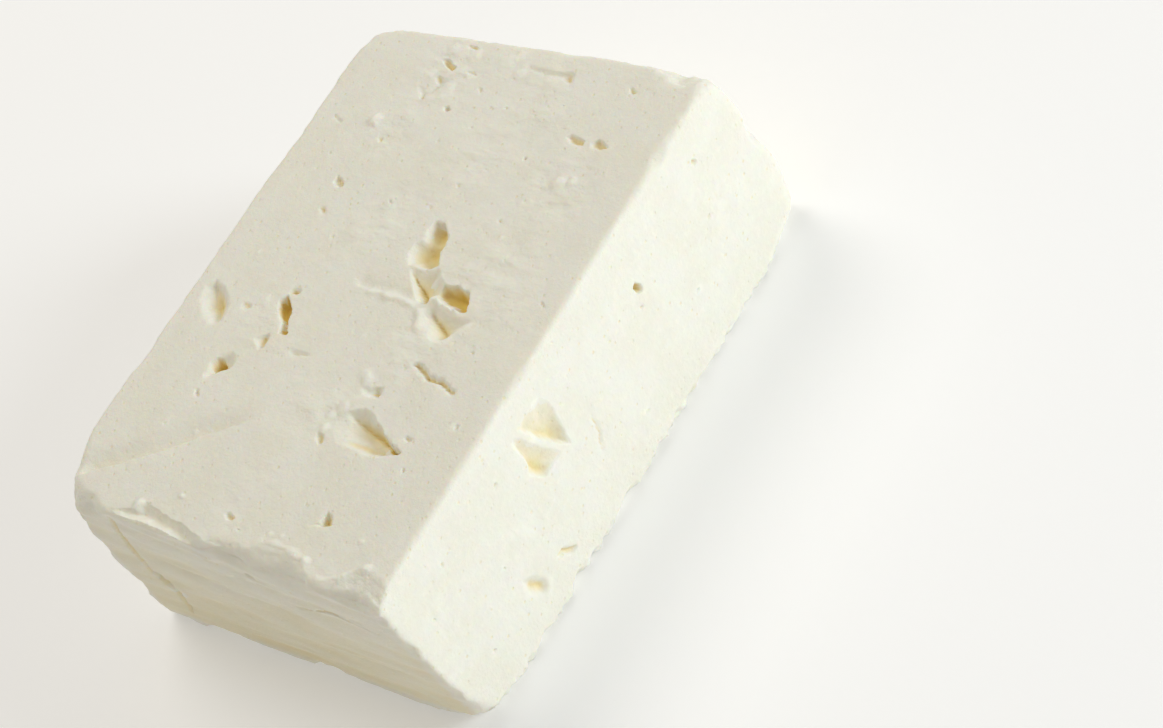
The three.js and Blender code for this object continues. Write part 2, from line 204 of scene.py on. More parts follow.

# Openings between the curds: the rim as places on the face, the floor as places with depths, how steeply
# the wall leaves the rim, with 1 for a straight slope and less for a gentle one, and how yellow the painted
# shade makes the whole opening and its deepest place, with less than 0 for white painted light
OPENINGS = {
    "top": (
        # long crack: a bulb, a neck and a foot
        (((-14.9, -5.0), (-14.5, -4.7), (-13.5, -5.6), (-12.3, -6.4), (-11.6, -7.4), (-11.3, -8.6),
          (-10.9, -9.5), (-9.9, -10.5), (-9.8, -11.0), (-10.8, -10.9), (-11.5, -11.0), (-11.9, -10.3),
          (-12.4, -9.3), (-13.9, -8.2), (-14.8, -7.3), (-15.5, -6.0)),
         ((-14.2, -6.0, 2.0), (-13.2, -7.2, 2.1), (-11.7, -9.1, 1.9), (-10.8, -10.4, 1.8)),
         6.0, (0.2, 1.0)),
        # funnel near the worn corner, and the well in it
        (((-19.7, -21.6), (-20.4, -20.1), (-20.8, -18.1), (-19.8, -16.5), (-18.2, -15.3), (-16.5, -15.5),
          (-15.4, -16.7), (-15.3, -18.1), (-17.2, -19.8), (-18.4, -20.8)),
         ((-19.4, -20.2, 1.0), (-18.6, -18.8, 2.2), (-17.0, -17.8, 1.2)), 0.95, (0.05, 0.75)),
        (((-20.3, -18.5), (-20.0, -17.2), (-18.7, -17.0), (-17.7, -18.0), (-18.3, -19.3), (-19.6, -19.5)),
         ((-19.5, -17.9, 3.0), (-19.0, -18.2, 3.0)), 2.5, (0.2, 1.0)),
        # side groove
        (((-30.6, -4.6), (-28.7, -5.2), (-26.2, -6.8), (-24.4, -8.0), (-23.8, -9.9), (-23.8, -12.3),
          (-25.8, -12.8), (-28.8, -11.4), (-31.6, -8.8), (-32.2, -6.2)),
         ((-30.0, -6.2, 1.2), (-27.4, -8.6, 1.9), (-25.6, -10.8, 1.3)), 0.95, (0.05, 0.8)),
        # cluster, from its upper end down: trough, crease, recess and the hollow under the ridge
        (((3.4, 12.4), (5.5, 12.5), (7.7, 10.5), (8.2, 8.8), (8.0, 7.6), (9.3, 5.4), (8.2, 4.6), (6.4, 4.3),
          (3.8, 4.5), (2.2, 6.3), (2.2, 8.2), (3.4, 9.3), (3.0, 11.0)),
         ((4.9, 11.2, 2.2), (6.0, 9.4, 1.7), (5.8, 7.8, 2.2), (7.2, 5.9, 1.7)), 1.7, (0.05, 0.75)),
        (((4.3, 4.1), (6.0, 2.3), (7.7, 0.7), (9.4, -0.6), (11.4, -1.3), (12.1, -0.4), (13.2, 0.6),
          (13.9, 1.4), (12.9, 2.6), (11.4, 3.7), (9.5, 5.3), (8.1, 4.7), (6.4, 4.3)),
         ((5.5, 3.1, 0.8), (7.3, 2.0, 1.7), (8.9, 1.1, 2.1), (9.6, 0.1, 1.9)), 1.2, (0.15, 0.65)),
        (((12.2, 2.7), (14.6, 3.0), (17.6, 2.6), (18.5, 1.3), (19.2, -0.6), (17.5, -0.9), (15.7, -0.7),
          (13.7, -0.1), (11.6, 0.5), (11.6, 1.8)),
         ((12.8, 2.2, 2.2), (15.0, 2.3, 3.1), (16.8, 2.0, 3.1), (17.6, 0.4, 2.6)), 2.2, (0.2, 0.95)),
        (((11.8, -1.3), (10.7, -2.0), (12.0, -3.5), (14.2, -5.1), (16.7, -6.7), (18.3, -6.3), (19.4, -5.0),
          (20.6, -3.2), (22.2, -1.5), (19.9, -1.1), (18.3, -1.0), (15.8, -0.8), (13.3, -0.6)),
         ((12.8, -1.6, 0.7), (14.8, -2.9, 1.5), (17.1, -4.2, 1.9)), 0.9, (0.14, 0.65)),
        # wedge
        (((10.1, -19.6), (10.8, -19.0), (12.7, -18.3), (14.9, -18.9), (16.9, -19.9), (19.2, -21.7),
          (20.9, -22.6), (23.3, -23.2), (23.1, -23.7), (19.8, -24.7), (16.8, -24.9), (14.2, -24.7),
          (11.6, -24.6), (9.6, -23.2), (9.1, -21.4)),
         ((10.4, -19.8, 0.5), (12.2, -20.0, 1.3), (15.1, -20.9, 2.0), (17.8, -21.5, 2.5),
          (20.4, -22.4, 2.8)), 1.05, (0.08, 0.95)),
        (((19.4, -21.9), (21.2, -22.4), (23.4, -23.1), (23.0, -23.6), (21.0, -23.5), (19.6, -22.9)),
         ((20.4, -22.6, 2.6), (21.6, -22.8, 3.0), (22.4, -23.0, 2.6)), 2.5, (0.95, 1.0)),
        # nicks with one crisp side
        (((-15.9, -12.9), (-14.3, -12.1), (-13.0, -11.0), (-12.4, -12.1), (-12.1, -13.7), (-13.1, -14.4)),
         ((-14.0, -12.1, 1.0), (-13.0, -12.9, 1.0)), 1.1, (0.05, 0.75)),
        (((9.4, -15.5), (11.3, -15.2), (13.7, -14.6), (14.3, -15.5), (13.8, -16.5), (12.4, -17.0),
          (10.9, -16.9)),
         ((12.4, -15.1, 1.2), (12.8, -16.0, 1.2)), 1.1, (0.05, 0.75)),
        (((7.3, -24.8), (7.3, -23.5), (8.8, -23.7), (9.6, -25.0), (8.7, -25.7)),
         ((8.2, -24.2, 0.8), (8.6, -25.0, 0.8)), 1.1, (0.05, 0.6)),
        (((21.9, -21.1), (22.8, -20.5), (24.5, -20.8), (23.3, -21.7)),
         ((22.8, -21.0, 0.7), (23.6, -21.1, 0.6)), 1.1, (0.05, 0.6)),
        (((15.4, -37.1), (17.2, -35.8), (17.2, -33.9), (18.8, -34.4), (19.8, -35.9), (17.6, -36.6)),
         ((17.6, -35.0, 1.3), (18.4, -35.9, 1.3)), 1.2, (0.05, 0.75)),
        (((-16.2, 40.3), (-14.8, 40.6), (-11.7, 39.1), (-12.0, 38.1), (-14.2, 38.9)),
         ((-14.6, 39.8, 0.8), (-12.8, 38.9, 1.2)), 1.5, (0.15, 0.8)),
        (((0.4, 42.6), (2.1, 41.8), (4.7, 41.4), (8.1, 41.5), (10.2, 42.0), (10.9, 42.4), (11.8, 40.4),
          (11.7, 38.7), (10.2, 38.9), (8.0, 39.4), (4.0, 39.6), (1.2, 40.8)),
         ((2.6, 41.2, 0.35), (6.0, 40.9, 0.5), (9.4, 41.0, 0.7), (10.9, 40.0, 0.9)), 0.95, (0.06, 0.7)),
        (((16.6, 30.0), (17.5, 30.8), (20.4, 30.2), (20.6, 29.0), (18.4, 29.0)),
         ((18.2, 30.0, 0.8), (19.6, 29.7, 1.0)), 1.4, (0.1, 0.65)),
        (((21.5, 30.0), (22.8, 30.8), (25.5, 29.6), (23.6, 28.7), (22.0, 29.0)),
         ((22.8, 30.0, 0.8), (24.2, 29.6, 1.0)), 1.4, (0.1, 0.65)),
        # groove along the front edge, and two scoops that run over it, whitened with painted light against
        # their shade
        (((-20.9, -44.4), (-18.4, -43.4), (-15.5, -42.9), (-14.7, -41.4), (-13.5, -41.5), (-10.8, -42.0),
          (-7.2, -42.4), (-4.6, -42.7), (-1.3, -43.4), (0.9, -44.7), (2.4, -46.0), (2.0, -49.0),
          (-5.0, -49.0), (-5.6, -45.2), (-9.0, -44.7), (-14.0, -44.7), (-18.0, -44.9)),
         ((-17.5, -44.0, 0.4), (-13.0, -42.9, 1.1), (-8.0, -43.4, 1.1), (-3.5, -44.4, 1.4),
          (-1.0, -46.2, 2.6)), 1.2, (-0.5, -0.1)),
        (((0.5, -46.5), (2.9, -44.5), (3.9, -44.1), (5.8, -43.2), (9.2, -41.7), (11.5, -41.4),
          (14.4, -41.2), (17.0, -41.8), (18.8, -42.0), (19.7, -43.4), (20.8, -44.0), (22.0, -46.0),
          (20.0, -51.0), (1.0, -51.0)),
         ((2.6, -47.0, 2.6), (8.0, -46.6, 2.3), (13.0, -46.2, 1.8), (18.6, -46.2, 1.4)),
         0.95, (-0.6, -0.3)),
        (((20.9, -45.6), (21.4, -44.2), (22.9, -43.6), (26.1, -42.5), (27.9, -40.8), (31.3, -40.0),
          (33.1, -40.4), (36.0, -41.0), (39.0, -44.0), (38.0, -51.0), (22.0, -51.0)),
         ((23.5, -46.2, 1.1), (29.0, -46.4, 1.6), (35.0, -46.4, 1.8)), 0.95, (-0.6, -0.3)),
    ),
    "right": (
        # double dent, split by a ridge
        (((-7.6, 26.9), (-7.1, 24.6), (-7.4, 21.3), (-8.3, 17.3), (-8.7, 16.7), (-10.7, 20.0),
          (-12.1, 23.4), (-13.1, 26.2), (-13.6, 27.5), (-11.7, 27.6), (-9.2, 27.2)),
         ((-12.1, 25.8, 1.0), (-10.8, 22.4, 1.8), (-9.6, 19.8, 2.0), (-8.8, 18.0, 1.2)), 1.0, (0.24, 0.5)),
        (((-14.4, 27.2), (-15.2, 26.8), (-15.7, 25.9), (-15.5, 24.5), (-15.4, 22.3), (-16.4, 20.5),
          (-15.7, 18.9), (-14.5, 17.4), (-12.5, 17.7), (-10.2, 17.5), (-11.5, 20.3), (-13.2, 24.6)),
         ((-14.7, 25.0, 0.8), (-14.7, 22.2, 1.1), (-14.8, 19.6, 1.7), (-13.9, 18.4, 1.4)), 1.0, (0.2, 0.7)),
        # low hollow
        (((-27.9, 11.6), (-26.6, 11.2), (-25.0, 9.3), (-23.9, 6.9), (-24.6, 5.1), (-26.0, 4.6),
          (-27.5, 5.6), (-28.2, 7.5), (-28.0, 9.4)),
         ((-26.4, 8.2, 1.0), (-25.6, 6.6, 1.1)), 0.95, (0.1, 0.62)),
        # open curd, amber with painted shade
        (((13.7, 22.6), (14.6, 23.1), (15.3, 21.9), (14.8, 20.8), (13.8, 21.2)),
         ((14.6, 21.9, 2.4), (14.5, 21.7, 2.4)), 3.0, (0.4, 1.0)),
    ),
    "left": (
        (((10.2, 12.6), (9.2, 18.0), (12.6, 21.8), (17.4, 19.6), (18.6, 14.2), (14.0, 11.4)),
         ((12.4, 16.2, 2.4), (15.6, 17.4, 1.8)), 1.4, (0.1, 0.6)),
        (((-24.8, 20.2), (-23.0, 24.6), (-19.4, 25.2), (-17.2, 22.4), (-20.6, 19.2)),
         ((-21.8, 22.4, 2.6), (-20.0, 21.8, 2.0)), 1.6, (0.1, 0.8)),
        (((-10.4, 6.2), (-7.2, 9.0), (-1.6, 8.4), (1.2, 6.6), (-5.0, 5.0)),
         ((-7.0, 7.4, 2.6), (-3.2, 7.0, 2.0)), 1.3, (0.1, 0.7)),
    ),
    "back": (
        (((-21.0, 14.2), (-12.6, 16.4), (-6.2, 15.2), (-13.0, 13.2)),
         ((-15.4, 14.8, 2.2), (-10.4, 15.0, 1.8)), 1.6, (0.1, 0.6)),
    ),
    "front": (
        (((-26.2, 16.4), (-24.6, 16.2), (-22.4, 13.6), (-21.8, 10.6), (-23.2, 9.8), (-24.6, 12.0),
          (-25.6, 14.0)),
         ((-24.8, 14.8, 1.2), (-23.0, 11.6, 1.3)), 1.3, (0.1, 0.8)),
    ),
    "bottom": (),
}

# Thin cracks: the line on the face, the width, the depth and the yellow of their painted shade
CRACKS = {
    "top": (
        (((16.1, -10.3), (16.6, -10.1), (18.1, -10.7), (19.8, -11.5), (21.1, -11.9), (22.4, -11.9),
          (23.8, -12.2), (25.3, -12.7), (26.2, -13.0)), 0.65, 1.5, 0.9),
        (((-7.4, -12.9), (-6.2, -13.3), (-4.9, -13.2), (-3.2, -13.1)), 0.5, 0.6, 0.4),
        (((-14.5, -4.5), (-13.8, -3.9), (-12.8, -3.7)), 0.8, 1.1, 0.8),
        (((-30.0, 27.0), (-27.2, 26.0)), 0.5, 0.4, 0.2),
        (((5.2, 3.4), (7.3, 2.0), (8.9, 1.1), (9.7, -0.1)), 0.6, 0.9, 0.95),
        (((13.2, -2.0), (14.8, -2.9), (16.0, -3.6), (17.6, -4.5)), 0.6, 0.9, 0.9),
        (((10.8, -19.8), (15.1, -20.9), (17.8, -21.5), (19.6, -22.1), (21.6, -22.7)), 0.7, 0.9, 0.95),
        (((12.6, -23.7), (15.0, -23.7), (18.0, -23.5), (20.8, -23.1)), 1.5, 0.35, 0.5),
    ),
    "right": (
        (((-21.2, 7.1), (-20.0, 6.8), (-18.9, 5.6), (-17.8, 4.9)), 1.0, 1.0, 0.5),
        (((-3.2, 16.6), (-3.5, 15.9), (-3.8, 14.6), (-4.0, 13.2), (-4.9, 12.0), (-5.8, 10.0)),
         0.5, 0.5, 0.5),
    ),
    "left": (
        (((22.0, 24.6), (26.4, 23.4), (30.2, 23.8)), 1.0, 1.7, 0.7),
    ),
    "front": (
        (((-21.5, 30.5), (-22.8, 27.0), (-23.9, 23.7), (-25.1, 16.8), (-23.6, 13.5), (-22.9, 10.7),
          (-24.7, 4.3)),
         1.6, 1.6, 0.95),
        (((12.0, 22.4), (14.2, 22.8), (19.0, 24.3), (22.3, 24.4), (25.2, 24.2), (28.0, 23.4)),
         0.45, 0.5, 0.6),
    ),
    "back": (
        (((-4.0, 22.0), (8.0, 21.2), (19.0, 22.4)), 0.6, 0.6, 0.4),
        (((-24.0, 8.6), (-12.0, 7.8), (2.0, 8.4)), 0.6, 0.5, 0.4),
    ),
    "bottom": (),
}

# A crack keeps this share of its width at its ends. How bluntly it closes there, and how steep its walls are
CRACK_END_WIDTH = 0.35
CRACK_CLOSING = 0.4
CRACK_WALL = 0.6

# Small steps, where a flake has lifted or a blade has turned: the line,
# the drop, the distance over which the face climbs back, the low side and the yellow of its painted shade
STEPS = {
    "top": (
        (((-4.5, 0.1), (-2.8, -0.5), (-0.4, -0.8), (2.0, -0.7), (6.2, -0.9), (8.5, -1.2), (11.6, -2.2)),
         0.5, 2.6, -1, 0.0),
        (((-32.4, -41.9), (-28.1, -39.4), (-22.6, -36.4), (-17.4, -33.2), (-12.5, -29.7), (-4.4, -24.7)),
         1.0, 4.5, -1, 0.22),
        (((-17.6, 34.9), (-15.4, 33.2), (-13.5, 33.6), (-12.6, 35.6), (-11.0, 36.7), (-8.6, 37.4)),
         0.45, 1.8, -1, 0.15),
    ),
    "front": (
        (((-4.0, 24.4), (4.6, 25.6), (12.3, 26.4)), 0.25, 2.6, 1, 0.0),
        (((-18.0, 20.6), (0.0, 19.4), (12.0, 18.4)), 0.28, 3.0, 1, 0.0),
        (((2.0, 11.2), (14.0, 10.6), (29.0, 11.4)), 0.22, 2.4, 1, 0.0),
        (((-16.0, 6.0), (-4.0, 5.4), (6.0, 5.8)), 0.25, 2.0, 1, 0.0),
    ),
    "back": (
        (((-24.0, 25.6), (-6.0, 26.4), (10.0, 25.2)), 0.25, 2.6, 1, 0.0),
        (((-8.0, 19.0), (12.0, 17.4), (29.0, 18.2)), 0.3, 3.0, 1, 0.0),
        (((-22.0, 5.2), (-4.0, 4.6), (8.0, 5.4)), 0.25, 2.4, 1, 0.0),
    ),
    "right": (),
    "left": (
        (((-38.0, 14.0), (-26.0, 12.4), (-12.0, 13.6)), 0.25, 3.0, 1, 0.0),
    ),
    "bottom": (),
}

# A step drops over this width, dies out this quickly at its ends, and has finer cells this far from its line
STEP_WIDTH = 0.35
STEP_FADE = 6
STEP_MARGIN = 0.1

# Small pits: the place on the face, length, width, depth, and the turn of the long way in degrees
PITS = {
    "top": (
        (-8.1, 31.3, 2.2, 1.5, 1.3, -30), (-15.1, 33.2, 2.2, 1.2, 0.7, -30),
        (23.2, 39.6, 2.4, 1.2, 0.6, -30),
        (12.0, 25.4, 1.2, 0.9, 1.1, -30), (-19.8, 15.8, 3.2, 1.7, 1.1, -35),
        (-19.4, 10.5, 2.4, 1.2, 0.6, -20),
        (-7.2, 14.0, 1.2, 0.8, 0.6, -40), (3.2, 19.0, 1.2, 0.8, 0.5, -30),
        (-18.9, -23.6, 2.2, 1.4, 0.9, -45),
        (1.8, -39.5, 2.4, 1.6, 0.8, -20), (6.0, -17.0, 1.0, 0.7, 0.4, 0), (25.5, -25.5, 1.2, 0.8, 0.6, -30),
        (24.6, -6.4, 1.2, 0.8, 0.4, -10), (31.0, 3.0, 2.2, 0.8, 0.5, -30), (-14.0, 6.5, 1.2, 0.8, 0.4, -20),
        (14.5, 14.6, 1.4, 0.9, 0.4, -20), (-11.6, 43.2, 3.0, 1.2, 0.5, -10),
        (-13.9, 36.5, 2.2, 1.4, 0.5, -40),
        (29.5, -17.5, 1.2, 0.9, 0.5, -40), (-25.5, 20.4, 1.2, 0.8, 0.4, -20),
        (-21.0, -29.5, 1.0, 0.8, 0.4, 0),
        (-8.1, 38.4, 2.4, 1.3, 0.5, -20), (-4.5, 35.6, 1.8, 1.0, 0.4, -50),
        (-17.3, 24.2, 2.0, 1.1, 0.35, -30),
        (-5.9, 25.5, 1.2, 0.8, 0.3, -30), (4.6, -41.0, 0.8, 0.6, 0.4, 0),
        (-21.2, -7.9, 2.6, 1.8, 0.35, -20),
        (6.2, 22.4, 0.8, 0.6, 0.3, 0), (16.4, 18.6, 0.9, 0.6, 0.35, 0), (-1.4, 29.0, 0.8, 0.6, 0.3, 0),
        (0.6, 14.6, 1.4, 0.8, 0.3, -30), (19.6, 8.8, 1.0, 0.7, 0.3, -40), (-10.4, 21.0, 0.9, 0.7, 0.3, 0),
        (2.4, 33.4, 1.0, 0.7, 0.35, -20), (12.8, 35.2, 0.8, 0.6, 0.3, 0), (-23.4, -16.6, 0.9, 0.7, 0.3, 0),
    ),
    "right": (
        (33.4, 25.6, 1.6, 1.4, 0.9, 20), (30.4, 17.4, 1.2, 0.9, 0.5, 30), (-34.0, 25.5, 0.9, 0.9, 0.6, 0),
        (-21.0, 25.0, 0.9, 0.9, 0.7, 0), (-28.0, 15.0, 1.0, 0.8, 0.5, 0), (12.9, 19.2, 0.8, 0.8, 0.5, 0),
        (-40.0, 21.0, 0.9, 0.8, 0.5, 0), (22.0, 11.0, 1.2, 0.8, 0.5, 40), (4.0, 7.0, 1.1, 0.8, 0.5, -20),
        (-37.0, 8.0, 1.1, 0.8, 0.5, 0),
    ),
    "front": ((6.0, 27.4, 2.0, 1.2, 0.8, 20), (-3.0, 28.6, 1.6, 1.0, 0.7, 0)),
}

# A pit's ring of corners, how far they stray, where its floor lies, how steep it is and how yellow its
# painted shade is
PIT_CORNERS = 6
PIT_STRAY = 0.3
PIT_FLOOR = ((-0.2, 0.08, 0.8), (0.22, 0.12, 1.0))
PIT_STEEPNESS = 1.3
PIT_SHADE = (0.05, 0.6)
STRAY_SEED = (127.1, 311.7, 74.7)

# Pits on the other faces follow one even spread: how many, the size of the largest and where the spread
# starts, the share of the largest that the smallest has, and the bare border and middle of a face
SPREADS = (
    ({"left": 9, "back": 5, "bottom": 9}, (3.6, 2.0, 1.8), 1),
    ({"left": 18, "back": 10, "bottom": 16}, (1.8, 1.2, 0.9), 101),
)
SMALLEST_SHARE = 0.45
SPREAD_MARGIN = 6.0
CLEAR_OF_CENTRE = 9.0

# Steps from one pit to the next, as shares of a face's two sizes, of the size range and of half a turn
SPREAD_STEP = (0.7549, 0.5698, 0.618, 0.382)
HALF_TURN = 180

# Crumbs pressed into the surface: the place on the top, the width and the height, and how ragged they are
CRUMBS = (
    (-20.8, 27.2, 2.6, 0.6), (-18.2, -6.6, 2.4, 0.2), (20.4, 22.4, 3.0, 0.2), (22.8, 22.9, 2.0, 0.2),
    (-14.8, -29.0, 1.0, 0.15), (17.0, 12.0, 1.0, 0.15), (4.0, -8.0, 0.9, 0.15), (-26.0, 1.0, 1.0, 0.15),
    (-16.4, 37.4, 2.6, 0.18), (-9.8, 41.6, 3.0, 0.2), (-11.0, 34.8, 3.6, 0.25), (-3.0, 41.8, 3.4, 0.22),
    (9.2, -13.6, 2.4, 0.2), (10.0, 3.0, 1.6, 0.3), (-8.9, -38.9, 1.2, 0.25),
    (-15.6, -42.2, 2.2, 0.45), (-12.4, -44.2, 1.8, 0.3), (18.9, -41.9, 1.8, 0.2), (29.6, -40.2, 2.0, 0.2),
    (10.4, -39.9, 1.1, 0.12), (12.6, -39.6, 0.9, 0.12), (26.0, -36.6, 1.2, 0.15),
    (11.6, 0.3, 1.8, 0.5), (13.4, 0.2, 1.9, 0.7), (15.4, -0.2, 2.0, 0.6), (17.2, -0.5, 1.5, 0.5),
    (7.6, -20.8, 1.9, 0.25), (8.0, -22.8, 1.8, 0.25), (8.9, -19.3, 2.2, 0.3), (10.0, -14.3, 2.2, 0.25),
    (-14.9, 42.6, 2.6, 0.2), (0.9, 39.6, 2.4, 0.2), (-8.2, 38.0, 1.8, 0.2), (-1.3, 43.0, 2.4, 0.2),
)
CRUMB_STRAY = 0.2
CRUMB_LOBES = (2, 3)

# Ragged lips that stand up along a lifted flake and beside the scoops of the front edge: the line, the width
# and the height. Then how much of the height comes and goes, how often, and how quickly a lip dies out
LIPS = (
    (((-3.6, 0.2), (-1.9, -0.4), (-0.5, -0.7), (2.0, -0.6), (4.5, -0.7), (7.6, -1.1), (10.1, -1.7),
      (11.4, -2.6),
      (12.6, -4.2), (14.2, -5.6), (16.4, -7.0)), 2.4, 0.4),
    (((7.6, -42.2), (9.6, -41.5), (11.5, -41.1), (14.4, -40.9), (16.8, -41.4), (18.8, -41.7), (19.9, -43.1),
      (20.8, -44.0)), 2.0, 0.3),
    (((21.4, -44.1), (22.9, -43.5), (26.0, -42.4), (27.8, -40.8), (30.0, -40.0), (32.6, -39.8)), 1.9, 0.3),
    (((-20.0, -44.9), (-17.0, -44.6), (-12.5, -44.5), (-8.0, -44.6), (-5.2, -45.0)), 1.3, 0.15),
    (((0.4, -44.2), (1.8, -44.7), (3.4, -44.1)), 1.4, 0.25),
)
LIP_STRAY = 0.35
LIP_WAVES = (2.9, 1.3)
LIP_FADE = 4

# Camera, as the view of the slab gives it: the place, the turns and the lens
CAMERA_PLACE = (250.23, -110.46, 247.90)
CAMERA_AZIMUTH = 62.81
CAMERA_ELEVATION = 42.80
CAMERA_ROLL = -38.79
SENSOR_WIDTH = 36.0
PICTURE_WIDTH = 1163
FOCAL_PIXELS = 2450

# Light: each soft lamp's direction, size, power and colour, and the pale surrounding
LAMP_DISTANCE = 900.0
LAMPS = {
    "window_lamp": ((0.86, 0.42, 0.34), 320.0, 3.95, (0.85, 0.93, 1.0)),
    "ceiling_lamp": ((-0.45, 0.22, 0.82), 500.0, 2.35, (1.0, 0.97, 0.91)),
}
ROOM_COLOUR = (1.0, 0.955, 0.87)
ROOM_STRENGTH = 0.40

# Floor: its size, how far it lies under the slab, and its looks
FLOOR_SIZE = 4000.0
FLOOR_DROP = 0.2
FLOOR_LOOKS = {
    "Base Color": (0.96, 0.96, 0.96, 1.0),
    "Roughness": 0.6,
    "Emission Color": (0.97, 0.985, 1.0, 1.0),
    "Emission Strength": 0.15,
}


def smooth(share):
    """Eases a share from 0 to 1."""
    share = np.clip(share, 0, 1)
    return share * share * (3 - 2 * share)


def falloff(distance, reach):
    """1 at a distance of 0, falling smoothly to 0 at the reach."""
    return smooth(1 - distance / reach)


def bumps(points, height, lengths, seed):
    """Smooth noise of about the given height up and down, whose bumps are about as long as the lengths."""
    places = points / np.asarray(lengths) + np.asarray(seed)
    return height * np.array([noise.noise(place, noise_basis="PERLIN_NEW") for place in places.tolist()])


def face_mask(box_points, face):
    """Which points of the plain box lie on a face."""
    axis, side, _ = FACES[face]
    return np.abs(box_points[:, axis] - MIDDLE[axis] - side * HALF[axis]) < SAME_PLACE


def line_distance(places, line):
    """Distance to the nearest stretch of a line, how far along it that is, and on which side."""
    nearest = np.full(len(places), np.inf)
    along = np.zeros(len(places))
    side = np.zeros(len(places))
    for i, (start, end) in enumerate(zip(line, line[1:])):
        run = end - start
        from_start = places - start
        share = np.clip(from_start @ run / (run @ run), 0, 1)
        gap = np.linalg.norm(from_start - share[:, None] * run, axis=1)
        closer = gap < nearest
        nearest = np.where(closer, gap, nearest)
        along = np.where(closer, i + share, along)
        side = np.where(closer, from_start[:, 0] * run[1] - from_start[:, 1] * run[0], side)
    return nearest, along, side


def inside_rim(places, rim):
    """Which places lie inside a closed rim."""
    odd = np.zeros(len(places), dtype=bool)
    for (a0, b0), (a1, b1) in zip(rim, np.roll(rim, -1, axis=0)):
        crosses = (b0 > places[:, 1]) != (b1 > places[:, 1])
        slope = (a1 - a0) / (b1 - b0) if b1 != b0 else 0.0
        odd ^= crosses & (places[:, 0] < a0 + (places[:, 1] - b0) * slope)
    return odd


def opening_depth(places, rim, floor, steepness, painted_shade):
    """How far outside an opening the places are, how deep it is there, and how yellow its painted shade is.
    """
    rim = np.array(rim)
    floor = np.array(floor)
    to_rim, _, _ = line_distance(places, np.vstack([rim, rim[:1]]))
    to_floor, along, _ = line_distance(places, floor[:, :2])
    inside = inside_rim(places, rim)
    overall_shade, deepest = painted_shade
    fall = 1 - (1 - to_rim / (to_rim + to_floor + TINY)) ** steepness
    floor_depth = np.interp(along, np.arange(len(floor)), floor[:, 2])
    ease = RIM_EASE if steepness >= 1 else GENTLE_EASE
    depth = np.where(inside, floor_depth * fall * smooth(to_rim / ease), 0)
    yellow = overall_shade * smooth(to_rim / SHADE_EASE)
    yellow += (deepest - overall_shade) * (depth / floor[:, 2].max()) ** (SHADE_CLIMB / steepness)
    return np.where(inside, -to_rim, to_rim), depth, np.where(inside, yellow, 0)


def pit_opening(a, b, length, width, depth, turn):
    """The rim, floor, steepness and painted shade of a small pit with a few stray corners."""
    slant = math.radians(turn)
    long_way = np.array([math.cos(slant), math.sin(slant)]) * length
    short_way = np.array([-math.sin(slant), math.cos(slant)]) * width
    seeds = a * STRAY_SEED[0] + b * STRAY_SEED[1] + STRAY_SEED[2] * np.arange(2 * PIT_CORNERS)
    stray = PIT_STRAY * np.sin(seeds).reshape(PIT_CORNERS, 2)
    angles = 2 * math.pi * (np.arange(PIT_CORNERS) + stray[:, 0]) / PIT_CORNERS
    radii = (1 + stray[:, 1]) / 2
    centre = np.array([a, b])
    rim = [centre + r * (math.cos(t) * long_way + math.sin(t) * short_way) for t, r in zip(angles, radii)]
    floor = [(*(centre + u * long_way + v * short_way), share * depth) for u, v, share in PIT_FLOOR]
    return rim, floor, PIT_STEEPNESS, PIT_SHADE


def crack_depth(places, line, width, depth, painted_shade):
    """The same for a crack, which narrows and closes towards both ends."""
    gap, along, _ = line_distance(places, np.array(line))
    share = along / (len(line) - 1)
    open_share = np.clip(4 * share * (1 - share), 0, 1) ** CRACK_CLOSING
    half = width / 2 * (CRACK_END_WIDTH + (1 - CRACK_END_WIDTH) * open_share)
    sunk = open_share * np.clip(1 - gap / half, 0, 1) ** CRACK_WALL
    return gap - half, depth * sunk, painted_shade * sunk


def step_depth(places, line, drop, reach, low_side, painted_shade):
    """The same for a step, which has its low side on one side of the line and dies out at both ends."""
    gap, along, side = line_distance(places, np.array(line))
    share = along / (len(line) - 1)
    ends = smooth(STEP_FADE * np.minimum(share, 1 - share))
    low = side * low_side > 0
    sunk = np.where(low, ends * smooth(gap / STEP_WIDTH) * (1 - smooth(gap / reach)), 0)
    return gap - STEP_MARGIN, drop * sunk, painted_shade * sunk


def lip_height(places, line, width, height):
    """The same for a lip, which stands proud and gets a painted highlight, so its depth and yellow are less
    than 0.
    """
    gap, along, _ = line_distance(places, np.array(line))
    share = along / (len(line) - 1)
    ragged = 1 + LIP_STRAY * (np.sin(LIP_WAVES[0] * along) * np.sin(LIP_WAVES[1] * along) - 1)
    half = width / 2 * ragged
    rise = ragged * np.clip(1 - (gap / half) ** 2, 0, 1) * smooth(LIP_FADE * np.minimum(share, 1 - share))
    return gap - half, -height * rise, -rise


def crumb_height(places, a, b, width, height):
    """The same for a crumb, which stands proud and gets a painted highlight, so its depth and yellow are
    less than 0.
    """
    spoke = places - np.array([a, b])
    angle = np.arctan2(spoke[:, 1], spoke[:, 0])
    seed = a * STRAY_SEED[0] + b * STRAY_SEED[1]
    first, second = CRUMB_LOBES
    stray = 1 + CRUMB_STRAY * np.sin(first * angle + seed) * np.cos(second * angle + 2 * seed)
    radius = np.hypot(*spoke.T) / (width / 2 * stray)
    rise = np.clip(1 - radius ** 2, 0, 1)
    return (radius - 1) * width / 2, -height * rise, -np.sqrt(rise)


def ragged_strip(places, face):
    """The same for the strip beside the ragged edge, which has no depth and only asks for finer cells."""
    from_edge = places[:, 1] if face == "right" else HALF[0] - places[:, 0]
    nothing = np.zeros(len(places))
    return from_edge - RAGGED_STRIP, nothing, nothing


